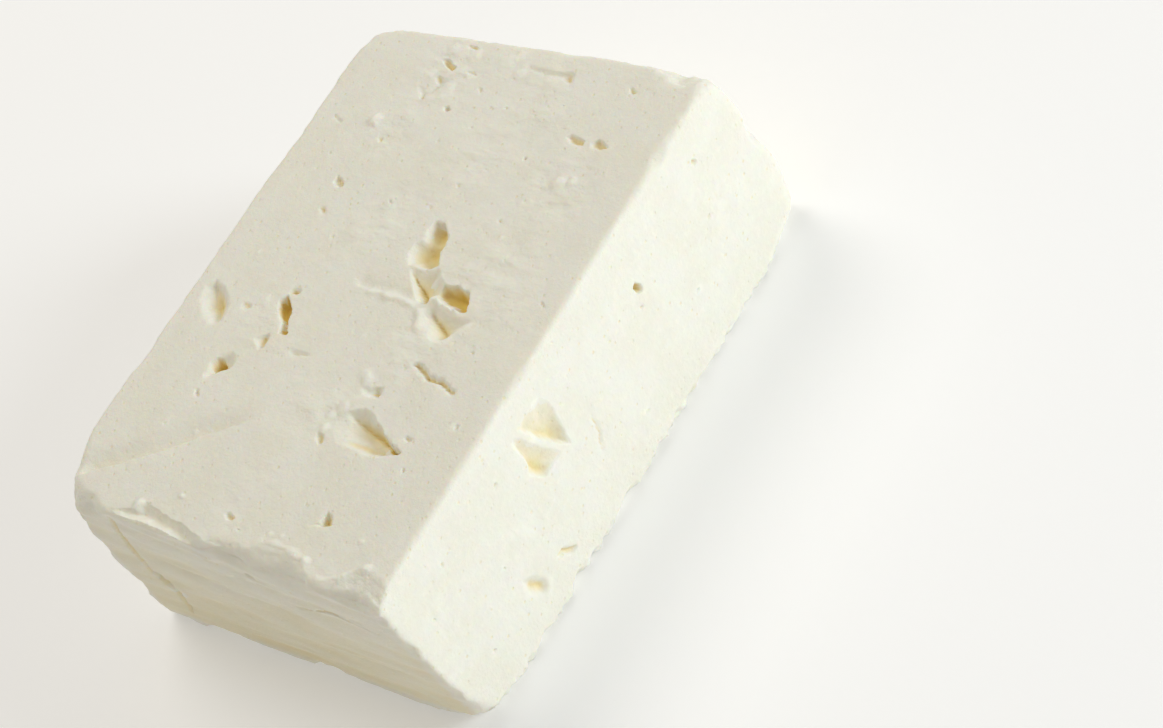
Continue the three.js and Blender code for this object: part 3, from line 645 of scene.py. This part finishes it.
def spread_pits(face, count, largest, start):
    """Evenly spread pits on one face, each a different share of the largest."""
    axes = list(FACES[face][2])
    middle = MIDDLE[axes]
    half = HALF[axes]
    pits = []
    i = start
    while len(pits) < count:
        shares = [(0.5 + i * step) % 1 for step in SPREAD_STEP]
        from_middle = (2 * np.array(shares[:2]) - 1) * (half - SPREAD_MARGIN)
        i += 1
        if np.hypot(*from_middle) < CLEAR_OF_CENTRE:
            continue
        size = SMALLEST_SHARE + (1 - SMALLEST_SHARE) * shares[2]
        length, width, depth = (size * value for value in largest)
        pits.append((*(middle + from_middle), length, width, depth, HALF_TURN * shares[3]))
    return pits


def face_hollows(face):
    """Every opening and pit of a face, as functions of places. Where two meet, the deeper one counts."""
    pits = list(PITS.get(face, ()))
    for counts, largest, start in SPREADS:
        pits += spread_pits(face, counts.get(face, 0), largest, start)
    openings = list(OPENINGS[face]) + [pit_opening(*pit) for pit in pits]
    return [lambda p, o=o: opening_depth(p, *o) for o in openings]


def face_marks(face):
    """Every crack, step, lip and crumb of a face, as functions of places. They add to what is there."""
    marks = [lambda p, c=c: crack_depth(p, *c) for c in CRACKS[face]]
    marks += [lambda p, s=s: step_depth(p, *s) for s in STEPS[face]]
    if face in ("right", "bottom"):
        marks.append(lambda p: ragged_strip(p, face))
    if face == "top":
        marks += [lambda p, l=l: lip_height(p, *l) for l in LIPS]
        marks += [lambda p, c=c: crumb_height(p, *c) for c in CRUMBS]
    return marks


def wandering_places(points, face):
    """Places on a face, moved a little to and fro so that rims and lines aren't drawn with a ruler."""
    _, _, axes = FACES[face]
    places = points[:, axes].copy()
    for amount, length in (WANDER, TREMBLE):
        for way, seed in enumerate(WANDER_SEEDS):
            places[:, way] += bumps(points, amount, length, seed)
    return places


def crowd_rows(mesh):
    """Moves the rows towards the edges, so that the round edges get the most faces."""
    for vertex in mesh.verts:
        for axis, crowding in enumerate(CROWDING):
            offset = vertex.co[axis] - MIDDLE[axis]
            half = HALF[axis]
            vertex.co[axis] += crowding * half * math.sin(math.pi * offset / half) / math.pi


def slab_grid():
    """A box of the slab's size, cut into rows."""
    mesh = bmesh.new()
    bmesh.ops.create_cube(mesh, size=1.0)
    bmesh.ops.scale(mesh, vec=(WIDTH, LENGTH, HEIGHT), verts=mesh.verts)
    bmesh.ops.translate(mesh, vec=MIDDLE, verts=mesh.verts)
    for axis, cells in enumerate(GRID_CELLS):
        along = [e for e in mesh.edges if abs(e.verts[0].co[axis] - e.verts[1].co[axis]) > SAME_PLACE]
        bmesh.ops.subdivide_edges(mesh, edges=along, cuts=cells - 1, use_grid_fill=True)
    crowd_rows(mesh)
    return mesh


def refine_near(mesh, measures, inside, outside):
    """Halves the grid's cells that lie near a rim: this far inside it or this far outside it."""
    faces = list(mesh.faces)
    centres = np.array([face.calc_center_median() for face in faces])
    chosen = np.zeros(len(faces), dtype=bool)
    for name, face_measures in measures.items():
        on_face = np.flatnonzero(face_mask(centres, name))
        places = wandering_places(centres[on_face], name)
        for measure in face_measures:
            gap, _, _ = measure(places)
            chosen[on_face] |= (gap > inside) & (gap < outside)
    edges = {edge for i in np.flatnonzero(chosen) for edge in faces[i].edges}
    bmesh.ops.subdivide_edges(mesh, edges=list(edges), cuts=1, use_grid_fill=True)


def refine_grid(mesh, features):
    """Gives the features finer cells than the plain faces."""
    every = {face: hollows + marks for face, (hollows, marks) in features.items()}
    for margin in FINE_MARGINS:
        refine_near(mesh, every, -np.inf, margin)
    refine_near(mesh, {face: features[face][0] for face in FINEST_FACES}, *FINEST_BAND)


def edge_radius(points):
    """How round the slab is: a knife edge, crumbled in places, with worn spots."""
    radius = EDGE_RADIUS + np.abs(bumps(points, *EDGE_CRUMBLE)) + np.abs(bumps(points, *FINE_CRUMBLE))
    to_ragged = np.hypot(points[:, 0] - HALF[0], points[:, 2] + HALF[2])
    radius += np.abs(bumps(points, *RAGGED_CRUMBLE)) * falloff(to_ragged, RAGGED_REACH)
    for share, worn, reach in WORN_SPOTS:
        distance = np.linalg.norm(points - np.array(share) * HALF, axis=1)
        radius += (worn - EDGE_RADIUS) * falloff(distance, reach)
    return radius[:, None]


def round_off(points):
    """Carries points of the plain box, measured from its middle, onto the box with round edges."""
    radius = edge_radius(points)
    core = np.clip(points, radius - HALF, HALF - radius)
    out = points - core
    length = np.linalg.norm(out, axis=1, keepdims=True)
    return np.where(length > 0, core + out * radius / np.maximum(length, TINY), points)


def smear_share(points):
    """How smeared the surface is, from 0 to 1."""
    share = np.clip(bumps(points, *SMEAR_PATCHES), 0, 1)
    for x, y, reach in SMEARED_SPOTS:
        share += falloff(np.linalg.norm(points - np.array([x, y, HALF[2]]), axis=1), reach)
    return np.clip(share, 0, 1)


def end_share(points):
    """1 on the two ends, falling to 0 at their edges and on the other faces."""
    inset = HALF - np.abs(points)
    margin = np.minimum(inset[:, 0], inset[:, 2])
    return smooth(margin / END_MARGIN) * falloff(inset[:, 1], END_MARGIN)


def face_relief(points):
    """Lets the faces swell and wave, and draws in the layers of the two ends. The base stays flat.

    Returns the points, how yellow the painted warm shade makes the ends, and how smeared the faces are.
    """
    share = points / HALF
    hold = np.sign(share) * np.abs(share) ** FACE_HOLD
    upper = smooth((share[:, 2] + 1) / 2)
    smeared = smear_share(points)
    lift = bumps(points, *SWELL) * upper + bumps(points, *WAVES) * smooth(upper * WAVE_START)
    lift += bumps(points, *CURD) + bumps(points, *SMEARS) * smeared
    layers = -np.abs(bumps(points, *LAYERS)) - np.abs(bumps(points, *FINE_LAYERS))
    moved = points.copy()
    moved[:, 0] += lift * hold[:, 0]
    moved[:, 1] += (lift + layers) * hold[:, 1]
    moved[:, 2] += lift * np.maximum(hold[:, 2], 0)
    end_tint = np.interp(share[:, 2], (-1, 1), END_TINTS) - LAYER_TINT * layers
    return moved, end_share(points) * end_tint, smeared


def break_edges(points):
    """Breaks the flakes off the edges. Returns the points and how far each one was moved."""
    moved = points.copy()
    raggedness = 1 + sum(bumps(points, *grain) for grain in FLAKE_GRAINS)
    for first, second, at, length, back, down in EDGE_FLAKES:
        axis_a, side_a, _ = FACES[first]
        axis_b, side_b, _ = FACES[second]
        run, = {0, 1, 2} - {axis_a, axis_b}
        along = points[:, run] + MIDDLE[run]
        size = np.clip(1 - ((along - at) / (length / 2)) ** 2, 0, 1) * raggedness
        depth_a = HALF[axis_a] - side_a * moved[:, axis_a]
        depth_b = HALF[axis_b] - side_b * moved[:, axis_b]
        cut = size - depth_b / back - depth_a / down
        scale = np.maximum(cut, 0) / (1 / back ** 2 + 1 / down ** 2)
        moved[:, axis_b] -= side_b * scale / back
        moved[:, axis_a] -= side_a * scale / down
    return moved, np.linalg.norm(moved - points, axis=1)


def flare_feet(points):
    """Pushes the two flared feet out along Y, most at the base and not at all at the top."""
    low = (1 - points[:, 2] / HALF[2]) / 2
    moved = points.copy()
    for side_x, side_y in FLARED_FEET:
        near = (1 + side_x * points[:, 0] / HALF[0]) / 2
        end = np.maximum(0, side_y * points[:, 1] / HALF[1]) ** FLARE_TAPER
        moved[:, 1] += side_y * FOOT_FLARE * low * near * end
    return moved


def fracture_grain(points, depth):
    """The grain of the broken surface inside an opening."""
    grain = bumps(points, *FRACTURE) + bumps(points, *FINE_FRACTURE)
    return grain * smooth(depth / FRACTURE_DEPTH)


def stronger(first, second):
    """Whichever tint is stronger, the yellow of painted shade or the white of painted light."""
    return np.where(np.abs(second) > np.abs(first), second, first)


def face_depth(points, face, features):
    """How deep the openings of a face are at points of it, and how yellow their painted shade is, or how
    white their painted light if less than 0.
    """
    hollows, marks = features[face]
    places = wandering_places(points, face)
    # Painted highlight in patches along the rims
    white = -RIM_HIGHLIGHT * np.clip(bumps(points, *RIM_PATCHES), 0, 1)
    depth = np.zeros(len(points))
    tint = np.zeros(len(points))
    for measure in hollows:
        gap, feature_depth, feature_tint = measure(places)
        depth = np.maximum(depth, feature_depth)
        tint = stronger(tint, feature_tint)
        tint = stronger(tint, white * falloff(np.abs(gap), RIM_REACH))
    depth += fracture_grain(points, depth)
    for measure in marks:
        _, feature_depth, feature_tint = measure(places)
        depth += feature_depth
        tint = stronger(tint, feature_tint)
    return depth, tint


def open_faces(points, box_points, features, end_tint):
    """Sinks the openings into the faces. Returns the points, how deep each one is, and the painted light and
    shade of each.
    """
    moved = points.copy()
    hollow = np.zeros(len(points))
    tint = end_tint.copy()
    for name in features:
        axis, side, _ = FACES[name]
        on_face = np.flatnonzero(face_mask(box_points, name))
        depth, face_tint = face_depth(box_points[on_face], name, features)
        moved[on_face, axis] -= side * depth
        hollow[on_face] = np.maximum(hollow[on_face], depth)
        tint[on_face] = stronger(tint[on_face], face_tint)
    return moved, hollow, tint


def sag_under_scoops(points, box_points, features):
    """Draws the sides down under the openings that run over the upper edge."""
    below = np.flatnonzero(~face_mask(box_points, "top") & ~face_mask(box_points, "bottom"))
    above = box_points[below].copy()
    above[:, 2] = HEIGHT
    depth, _ = face_depth(above, "top", features)
    moved = points.copy()
    moved[below, 2] -= depth * (box_points[below, 2] / HEIGHT) ** SAG_TAPER
    return moved


def centre_on_frame(points):
    """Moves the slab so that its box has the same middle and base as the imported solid."""
    low, high = (np.array(corner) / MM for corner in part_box("cheese_block"))
    own_low = points.min(axis=0)
    own_high = points.max(axis=0)
    shift = (low + high - own_low - own_high) / 2
    shift[2] = low[2] - own_low[2]
    return points + shift


def soften_hollows(mesh, hollow_layer):
    """Takes the sharpness off the rims and creases of the openings."""
    sunk = [vertex for vertex in mesh.verts if vertex[hollow_layer] > HOLLOW_START]
    for _ in range(SOFTENING_ROUNDS):
        bmesh.ops.smooth_vert(
            mesh, verts=sunk, factor=SOFTENING, use_axis_x=True, use_axis_y=True, use_axis_z=True
        )


def make_slab():
    """The whole slab as one closed mesh, with its hollows, tint of painted light and shade, broken edges and
    smears as attributes.
    """
    features = {face: (face_hollows(face), face_marks(face)) for face in FACES}
    mesh = slab_grid()
    refine_grid(mesh, features)
    box_points = np.array([vertex.co for vertex in mesh.verts])
    points, end_tint, smeared = face_relief(round_off(box_points - MIDDLE))
    points, broken = break_edges(points)
    points = flare_feet(points) + MIDDLE
    points, hollow, tint = open_faces(points, box_points, features, end_tint)
    points = sag_under_scoops(points, box_points, features)
    points = centre_on_frame(points)
    layers = {name: mesh.verts.layers.float.new(name) for name in ("hollow", "tint", "broken", "smeared")}
    for vertex, place, *values in zip(mesh.verts, points, hollow, tint, broken, smeared):
        vertex.co = place * MM
        for layer, value in zip(layers.values(), values):
            vertex[layer] = value
    soften_hollows(mesh, layers["hollow"])
    bmesh.ops.recalc_face_normals(mesh, faces=mesh.faces)
    for face in mesh.faces:
        face.smooth = True
    data = bpy.data.meshes.new("cheese_slab")
    mesh.to_mesh(data)
    mesh.free()
    slab = bpy.data.objects.new("cheese_slab", data)
    bpy.context.scene.collection.objects.link(slab)
    return slab


def add_node(tree, kind, inputs=None, **settings):
    """A node with its settings, and its inputs set or linked by name or number."""
    node = tree.nodes.new(kind)
    for name, value in settings.items():
        setattr(node, name, value)
    for name, value in (inputs or {}).items():
        if isinstance(value, bpy.types.NodeSocket):
            tree.links.new(value, node.inputs[name])
        else:
            node.inputs[name].default_value = value
    return node


def mix_colours(tree, factor, first, second):
    """The colour between two colours."""
    node = add_node(tree, "ShaderNodeMix", {0: factor, 6: first, 7: second}, data_type="RGBA")
    return node.outputs[2]


def map_range(tree, value, low, high, to_low=0.0, to_high=1.0):
    """A value carried from one range to another, eased at both ends."""
    node = add_node(
        tree, "ShaderNodeMapRange",
        {"Value": value, "From Min": low, "From Max": high, "To Min": to_low, "To Max": to_high},
        interpolation_type="SMOOTHSTEP",
    )
    return node.outputs["Result"]


def noise_value(tree, place, scale, detail, roughness):
    """Noise whose scale is given in bumps to the millimetre."""
    node = add_node(
        tree, "ShaderNodeTexNoise",
        {"Vector": place, "Scale": scale, "Detail": detail, "Roughness": roughness},
    )
    return node.outputs["Fac"]


def new_material(name):
    """An empty material: its node tree and its surface shader."""
    material = bpy.data.materials.new(name)
    material.use_nodes = True
    tree = material.node_tree
    return material, tree, tree.nodes["Principled BSDF"]


def set_inputs(shader, values):
    """Sets inputs of a shader by name."""
    for name, value in values.items():
        shader.inputs[name].default_value = value


# Colours of the curd, and of the painted shade and painted light on it
IVORY = (0.885, 0.86, 0.745, 1.0)
CHALK = (0.905, 0.885, 0.79, 1.0)
# Cream is the pores' colour and a light painted shade, amber a deep painted shade, and the white is pale
# curd and painted light
CREAM = (0.90, 0.79, 0.50, 1.0)
AMBER_SHADE = (0.86, 0.64, 0.17, 1.0)
PALE_CURD_AND_LIGHT = (0.955, 0.925, 0.81, 1.0)

# Patterns of the curd: bumps to the millimetre, detail and roughness
CLOUDS = (0.14, 5.0, 0.55)
MOTTLE = (0.9, 4.0, 0.65)
GRAIN = (2.4, 4.0, 0.6)
BLADE_SMEARS = (0.42, 2.0, 0.5)
PORES_TO_THE_MM = 0.6

# The way that the blade went over the top, in degrees from x, and how it drew the smears out
BLADE_TURN = 30.0
BLADE_STRETCH = 0.45

# What the patterns and the mesh's own values do: the range that counts, and the range that it becomes
CLOUD_CHALK = (0.35, 0.65)
MOTTLE_WHITE = (0.45, 0.75, 0.0, 0.5)
# The smears are whiter in places, partly a painted sheen
SMEAR_WHITE = (0.45, 0.68)
PORE_REACH = (0.06, 0.2, 1.0, 0.0)
PORE_PATCHES = (0.4, 0.62, 0.1, 0.6)
# The broken flakes are whiter, partly painted light on chips that face away from the lamps. The tint below 0
# is white painted light, and above 0 painted shade in cream and then amber
BROKEN_WHITE_AND_LIGHT = (0.05, 0.8, 0.0, 0.4)
TINT_WHITE = (-0.9, -0.1, 1.0, 0.0)
TINT_CREAM = (0.08, 0.5)
TINT_AMBER_SHADE = (0.35, 0.95)
MOTTLE_ROUGHNESS = (0.3, 0.7, 0.48, 0.66)

# Fine relief of the material: the smears' height, and the strength and height of the rest
SMEAR_HEIGHT = 0.6
CURD_BUMP = (0.7, 0.18)
GRAIN_BUMP = (0.6, 0.11)
PORE_BUMP = (0.5, 0.14)

# How the curd takes light: it goes in, furthest the red, and little is reflected
CURD_LIGHT = {
    "Subsurface Weight": 0.6,
    "Subsurface Radius": (1.0, 0.72, 0.42),
    "Subsurface Scale": 1.2 * MM,
    "IOR": 1.4,
    "Specular IOR Level": 0.35,
}


def multiply(tree, first, second):
    """The product of two values."""
    return add_node(tree, "ShaderNodeMath", {0: first, 1: second}, operation="MULTIPLY").outputs[0]


def mesh_value(tree, name):
    """A value that the mesh holds at each of its points."""
    return add_node(tree, "ShaderNodeAttribute", attribute_name=name).outputs["Fac"]


def add_bump(tree, height, strength, distance, normal, invert=False):
    """Fine relief over an earlier one. The distance is in millimetres."""
    inputs = {"Height": height, "Strength": strength, "Distance": distance * MM, "Normal": normal}
    return add_node(tree, "ShaderNodeBump", inputs, invert=invert).outputs[0]


def make_curd_material():
    """Moist matte curd: ivory with chalky clouds, painted yellow shade in the hollows, with grain and fine
    pores.
    """
    material, tree, shader = new_material("brined_curd")
    coordinates = add_node(tree, "ShaderNodeTexCoord").outputs["Object"]
    place = add_node(
        tree, "ShaderNodeVectorMath", {0: coordinates, "Scale": 1 / MM}, operation="SCALE"
    ).outputs[0]
    drawn = add_node(
        tree, "ShaderNodeMapping",
        {"Vector": place, "Rotation": (0, 0, math.radians(-BLADE_TURN)), "Scale": (BLADE_STRETCH, 1, 1)},
    ).outputs[0]
    tint = mesh_value(tree, "tint")
    broken = mesh_value(tree, "broken")
    smeared = mesh_value(tree, "smeared")

    clouds = noise_value(tree, place, *CLOUDS)
    mottle = noise_value(tree, place, *MOTTLE)
    grain = noise_value(tree, place, *GRAIN)
    smears = noise_value(tree, drawn, *BLADE_SMEARS)
    cells = add_node(tree, "ShaderNodeTexVoronoi", {"Vector": place, "Scale": PORES_TO_THE_MM})
    pores = map_range(tree, cells.outputs["Distance"], *PORE_REACH)
    pore_tint = multiply(tree, pores, map_range(tree, clouds, *PORE_PATCHES))
    smear_white = multiply(tree, map_range(tree, smears, *SMEAR_WHITE), smeared)

    colour = mix_colours(tree, map_range(tree, clouds, *CLOUD_CHALK), IVORY, CHALK)
    colour = mix_colours(tree, map_range(tree, mottle, *MOTTLE_WHITE), colour, PALE_CURD_AND_LIGHT)
    # Whiter in the blade smears, partly a painted sheen
    colour = mix_colours(tree, smear_white, colour, PALE_CURD_AND_LIGHT)
    colour = mix_colours(tree, pore_tint, colour, CREAM)
    # Painted light on the broken flakes, with some pale curd
    colour = mix_colours(tree, map_range(tree, broken, *BROKEN_WHITE_AND_LIGHT), colour, PALE_CURD_AND_LIGHT)
    # Painted light where the tint is below 0, then painted shade in cream and amber where it is above 0
    colour = mix_colours(tree, map_range(tree, tint, *TINT_WHITE), colour, PALE_CURD_AND_LIGHT)
    colour = mix_colours(tree, map_range(tree, tint, *TINT_CREAM), colour, CREAM)
    colour = mix_colours(tree, map_range(tree, tint, *TINT_AMBER_SHADE), colour, AMBER_SHADE)
    tree.links.new(colour, shader.inputs["Base Color"])
    tree.links.new(map_range(tree, mottle, *MOTTLE_ROUGHNESS), shader.inputs["Roughness"])

    normal = add_node(
        tree, "ShaderNodeBump", {"Height": smears, "Strength": smeared, "Distance": SMEAR_HEIGHT * MM}
    ).outputs[0]
    normal = add_bump(tree, mottle, *CURD_BUMP, normal)
    normal = add_bump(tree, grain, *GRAIN_BUMP, normal)
    normal = add_bump(tree, pores, *PORE_BUMP, normal, invert=True)
    tree.links.new(normal, shader.inputs["Normal"])
    set_inputs(shader, CURD_LIGHT)
    return material


def make_floor():
    """A wide white floor just under the slab."""
    mesh = bmesh.new()
    bmesh.ops.create_grid(mesh, x_segments=1, y_segments=1, size=FLOOR_SIZE * MM / 2)
    bmesh.ops.translate(mesh, vec=(0, 0, -FLOOR_DROP * MM), verts=mesh.verts)
    data = bpy.data.meshes.new("floor")
    mesh.to_mesh(data)
    mesh.free()
    floor = bpy.data.objects.new("floor", data)
    bpy.context.scene.collection.objects.link(floor)
    material, _, shader = new_material("white_floor")
    set_inputs(shader, FLOOR_LOOKS)
    data.materials.append(material)


def make_camera():
    """The camera, at the angle from which the slab is seen."""
    data = bpy.data.cameras.new("camera")
    data.sensor_width = SENSOR_WIDTH
    data.lens = FOCAL_PIXELS * SENSOR_WIDTH / PICTURE_WIDTH
    camera = bpy.data.objects.new("camera", data)
    turns = [math.radians(angle) for angle in (CAMERA_AZIMUTH, 90 - CAMERA_ELEVATION, CAMERA_ROLL)]
    heading = Euler((0, 0, turns[0])).to_matrix()
    tilt = Euler((turns[1], 0, 0)).to_matrix()
    roll = Euler((0, 0, turns[2])).to_matrix()
    camera.matrix_world = (heading @ tilt @ roll).to_4x4()
    camera.location = Vector(CAMERA_PLACE) * MM
    bpy.context.scene.collection.objects.link(camera)
    bpy.context.scene.camera = camera


def make_lamp(name, direction, size, power, colour):
    """A round soft lamp that looks at the slab."""
    data = bpy.data.lights.new(name, "AREA")
    data.shape = "DISK"
    data.size = size * MM
    data.energy = power
    data.color = colour
    lamp = bpy.data.objects.new(name, data)
    direction = Vector(direction).normalized()
    lamp.location = direction * LAMP_DISTANCE * MM
    lamp.rotation_euler = direction.to_track_quat("Z", "Y").to_euler()
    bpy.context.scene.collection.objects.link(lamp)


def make_light():
    """The lamps and a pale surrounding."""
    for name, values in LAMPS.items():
        make_lamp(name, *values)
    world = bpy.data.worlds.new("room")
    world.use_nodes = True
    background = world.node_tree.nodes["Background"]
    background.inputs["Color"].default_value = (*ROOM_COLOUR, 1.0)
    background.inputs["Strength"].default_value = ROOM_STRENGTH
    bpy.context.scene.world = world
    bpy.context.scene.view_settings.view_transform = "Standard"


make_camera()
make_light()
make_floor()

slab = make_slab()
slab.data.materials.append(make_curd_material())
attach(slab, "root")
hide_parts("cheese_block")
